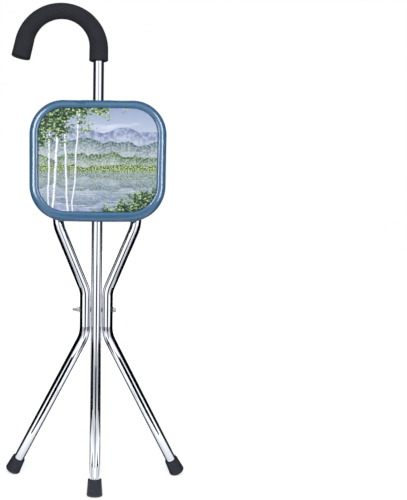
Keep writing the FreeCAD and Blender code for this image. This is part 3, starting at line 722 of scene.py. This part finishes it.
def addPlane(name, corners, material):
    data = bpy.data.meshes.new(name)
    data.from_pydata(corners, [], [tuple(range(len(corners)))])
    data.materials.append(material)
    piece = bpy.data.objects.new(name, data)
    scene.collection.objects.link(piece)
    return piece


def makeFloor():
    material, tree = newMaterial("paleFloor")
    path = addNode(tree, "ShaderNodeLightPath")
    place = addNode(tree, "ShaderNodeNewGeometry").outputs["Position"]
    out = addNode(tree, "ShaderNodeVectorMath", {0: place}, operation="LENGTH").outputs["Value"]
    toRear = addNode(tree, "ShaderNodeSeparateXYZ", {"Vector": place}).outputs["Y"]
    shine = addNode(tree, "ShaderNodeMapRange", {
        "Value": toRear, "From Min": studio["shineFalls"][0], "From Max": studio["shineFalls"][1],
        "To Min": studio["floorShine"], "To Max": studio["floorShade"]})
    forCamera = addNode(tree, "ShaderNodeMapRange", {"Value": out, "From Min": studio["fadeFrom"],
                                                     "From Max": studio["fadeTo"], "To Min": studio["floorLift"],
                                                     "To Max": 1.0})
    forMirror = addNode(tree, "ShaderNodeMapRange", {
        "Value": out, "From Min": studio["farFloor"][0], "From Max": studio["farFloor"][1],
        "To Min": shine.outputs[0], "To Max": studio["floorFar"]})
    mirror = addNode(tree, "ShaderNodeMath", {0: path.outputs["Is Glossy Ray"], 1: path.outputs["Is Transmission Ray"]},
                     operation="MAXIMUM")
    inMirror = addNode(tree, "ShaderNodeMath", {0: mirror.outputs[0], 1: forMirror.outputs[0]}, operation="MULTIPLY")
    inCamera = addNode(tree, "ShaderNodeMath", {0: path.outputs["Is Camera Ray"], 1: forCamera.outputs[0]},
                       operation="MULTIPLY")
    strength = addNode(tree, "ShaderNodeMath", {0: inMirror.outputs[0], 1: inCamera.outputs[0]}, operation="MAXIMUM")
    matt = addNode(tree, "ShaderNodeBsdfDiffuse", {"Color": linear(studio["floorColour"])})
    glow = addNode(tree, "ShaderNodeEmission", {"Color": (1, 1, 1, 1), "Strength": strength.outputs[0]})
    both = addNode(tree, "ShaderNodeAddShader", {0: matt.outputs[0], 1: glow.outputs[0]})
    addNode(tree, "ShaderNodeOutputMaterial", {"Surface": both.outputs[0]})
    half = studio["floorSize"] / 2
    addPlane("floor", [(-half, -half, 0), (half, -half, 0), (half, half, 0), (-half, half, 0)], material)


def makeCard(name):
    material, tree = newMaterial(name + "Card")
    if name == "shine":       # clear to everything that it doesn't light
        glow = addNode(tree, "ShaderNodeEmission", {"Strength": studio["shineStrength"]})
        clear = addNode(tree, "ShaderNodeBsdfTransparent")
        surface = addNode(tree, "ShaderNodeAddShader", {0: glow.outputs[0], 1: clear.outputs[0]})
    else:
        surface = addNode(tree, "ShaderNodeEmission", {"Color": linear(studio[name]), "Strength": 1.0})
    addNode(tree, "ShaderNodeOutputMaterial", {"Surface": surface.outputs[0]})
    return material


def addCards():
    finishes = {name: makeCard(name) for name in ("black", "dark", "grey", "pale", "white", "shine")}
    wanted = list(singleCards)
    for name, look, corners in pairedCards:
        wanted.append((name + "Right", look, corners))
        wanted.append((name + "Left", look, [(-x, y, z) for x, y, z in corners]))
    seatOnly = bpy.data.collections.new("litByTheSoftBoxes")
    for name in ("seat_frame", "seat_panel"):
        seatOnly.objects.link(nodes[name])
    for name, look, corners in wanted:
        card = addPlane(name, corners, finishes[look])
        if look == "shine":
            card.light_linking.receiver_collection = seatOnly
        card.visible_camera = False
        card.visible_diffuse = False
        card.visible_shadow = False
        card.visible_transmission = False


def addLamps():
    for name, place, aim, width, height, watts in studio["lamps"]:
        data = bpy.data.lights.new(name, "AREA")
        data.shape = "RECTANGLE"
        data.size = width
        data.size_y = height
        data.energy = watts
        lamp = bpy.data.objects.new(name, data)
        way = Vector(aim) - Vector(place)
        lamp.rotation_euler = way.to_track_quat("-Z", "Y").to_euler()
        lamp.location = place
        lamp.visible_glossy = False
        scene.collection.objects.link(lamp)


def makeWorld():
    world = bpy.data.worlds.new("whiteRoom")
    scene.world = world
    world.use_nodes = True
    tree = world.node_tree
    tree.nodes.clear()
    path = addNode(tree, "ShaderNodeLightPath")
    mirror = addNode(tree, "ShaderNodeMath", {0: path.outputs["Is Glossy Ray"], 1: path.outputs["Is Transmission Ray"]},
                     operation="MAXIMUM")
    seen = addNode(tree, "ShaderNodeMath", {0: path.outputs["Is Camera Ray"], 1: mirror.outputs[0]},
                   operation="MAXIMUM")
    level = addNode(tree, "ShaderNodeMapRange", {"Value": mirror.outputs[0], "To Min": 1.0,
                                                 "To Max": studio["mirrorGlow"]})
    fill = addNode(tree, "ShaderNodeBackground", {"Color": linear(studio["fillColour"]), "Strength": studio["fill"]})
    white = addNode(tree, "ShaderNodeBackground", {"Color": (1, 1, 1, 1), "Strength": level.outputs[0]})
    either = addNode(tree, "ShaderNodeMixShader", {0: seen.outputs[0], 1: fill.outputs[0], 2: white.outputs[0]})
    addNode(tree, "ShaderNodeOutputWorld", {"Surface": either.outputs[0]})


makeFloor()
addCards()
addLamps()
makeWorld()
print("studio ready")
